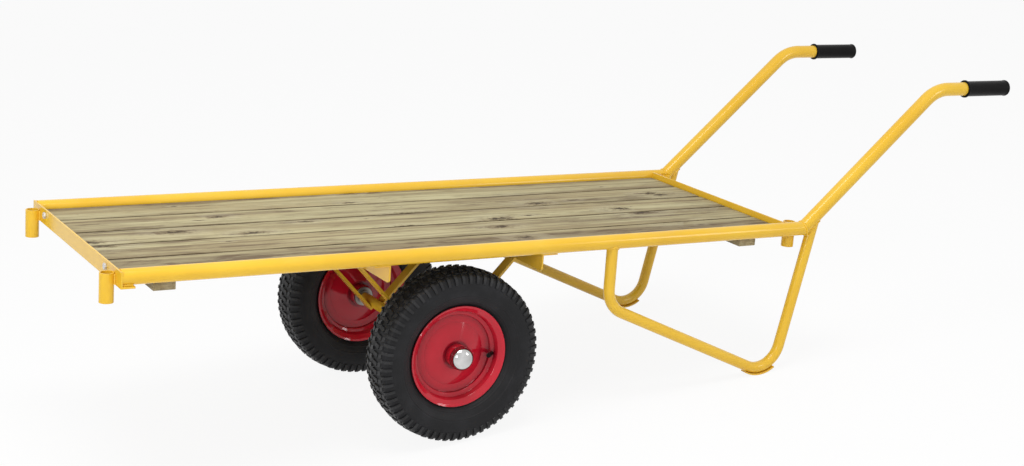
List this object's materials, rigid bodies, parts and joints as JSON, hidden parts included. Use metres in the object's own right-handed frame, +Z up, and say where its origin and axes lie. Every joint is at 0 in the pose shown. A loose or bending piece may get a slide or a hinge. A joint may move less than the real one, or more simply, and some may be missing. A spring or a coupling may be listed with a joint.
{
  "type": "platform cart",
  "caption": "Flat timber-decked hand cart on pneumatic wheels, with a welded tube frame, bent legs, raised handles and corner sockets for stakes.",
  "frame": {"origin": "on the floor, in the middle of the standing cart's length and width", "axes": "+X along the cart towards the handles, +Y to the right-hand side of a person standing at the handles and facing the deck, +Z up from the level floor; the deck itself slopes down towards the handles because the cart stands on its tyres and legs"},
  "size_m": [2.3767, 0.649, 0.6584],
  "materials": {
    "yellow_paint": "glossy powder coat",
    "red_paint": "glossy enamel",
    "grip_rubber": "smooth moulded",
    "tyre_rubber": "moulded tread",
    "tube_rubber": "smooth",
    "valve_rubber": "smooth",
    "cap_plastic": "smooth",
    "cap_chrome": "polished",
    "bearing_steel": "ground",
    "zinc_steel": "zinc plated",
    "deck_timber": "planed pressure-treated pine",
    "batten_timber": "sawn pressure-treated pine"
  },
  "bodies": {
    "frame": {"side_rail_left": "yellow_paint", "handle_tube_left": "yellow_paint", "leg_tube_left": "yellow_paint", "leg_shoe_left": "yellow_paint", "front_stake_socket_left": "yellow_paint", "rear_stake_socket_left": "yellow_paint", "axle_strut_front_left": "yellow_paint", "axle_strut_rear_left": "yellow_paint", "grip_left": "grip_rubber", "axle_cap_left": "cap_chrome", "side_rail_right": "yellow_paint", "handle_tube_right": "yellow_paint", "leg_tube_right": "yellow_paint", "leg_shoe_right": "yellow_paint", "front_stake_socket_right": "yellow_paint", "rear_stake_socket_right": "yellow_paint", "axle_strut_front_right": "yellow_paint", "axle_strut_rear_right": "yellow_paint", "grip_right": "grip_rubber", "axle_cap_right": "cap_chrome", "front_crossmember": "yellow_paint", "rear_crossmember": "yellow_paint", "axle_crossmember_front": "yellow_paint", "axle_crossmember_rear": "yellow_paint", "axle": "yellow_paint", "axle_collars": "yellow_paint", "deck_board_1": "deck_timber", "deck_board_2": "deck_timber", "deck_board_3": "deck_timber", "deck_board_4": "deck_timber", "deck_board_5": "deck_timber", "deck_batten_front": "batten_timber", "deck_batten_rear": "batten_timber", "hub_washers": "zinc_steel", "front_bolts": "zinc_steel", "front_nuts": "zinc_steel", "batten_screws": "zinc_steel", "flange_screws": "zinc_steel"},
    "left_wheel": {"tyre_left": "tyre_rubber", "inner_tube_left": "tube_rubber", "rim_outer_half_left": "red_paint", "rim_inner_half_left": "red_paint", "hub_tube_left": "red_paint", "outer_bearing_left": "bearing_steel", "inner_bearing_left": "bearing_steel", "valve_stem_left": "valve_rubber", "valve_cap_left": "cap_plastic"},
    "right_wheel": {"tyre_right": "tyre_rubber", "inner_tube_right": "tube_rubber", "rim_outer_half_right": "red_paint", "rim_inner_half_right": "red_paint", "hub_tube_right": "red_paint", "outer_bearing_right": "bearing_steel", "inner_bearing_right": "bearing_steel", "valve_stem_right": "valve_rubber", "valve_cap_right": "cap_plastic"}
  },
  "joints": [
    {"name": "left_wheel_spin", "type": "hinge", "parent": "frame", "child": "left_wheel", "pos_m": [-0.39437, -0.256, 0.2], "axis": [0, 1, 0], "continuous": true},
    {"name": "right_wheel_spin", "type": "hinge", "parent": "frame", "child": "right_wheel", "pos_m": [-0.39437, 0.256, 0.2], "axis": [0, 1, 0], "continuous": true}
  ]
}
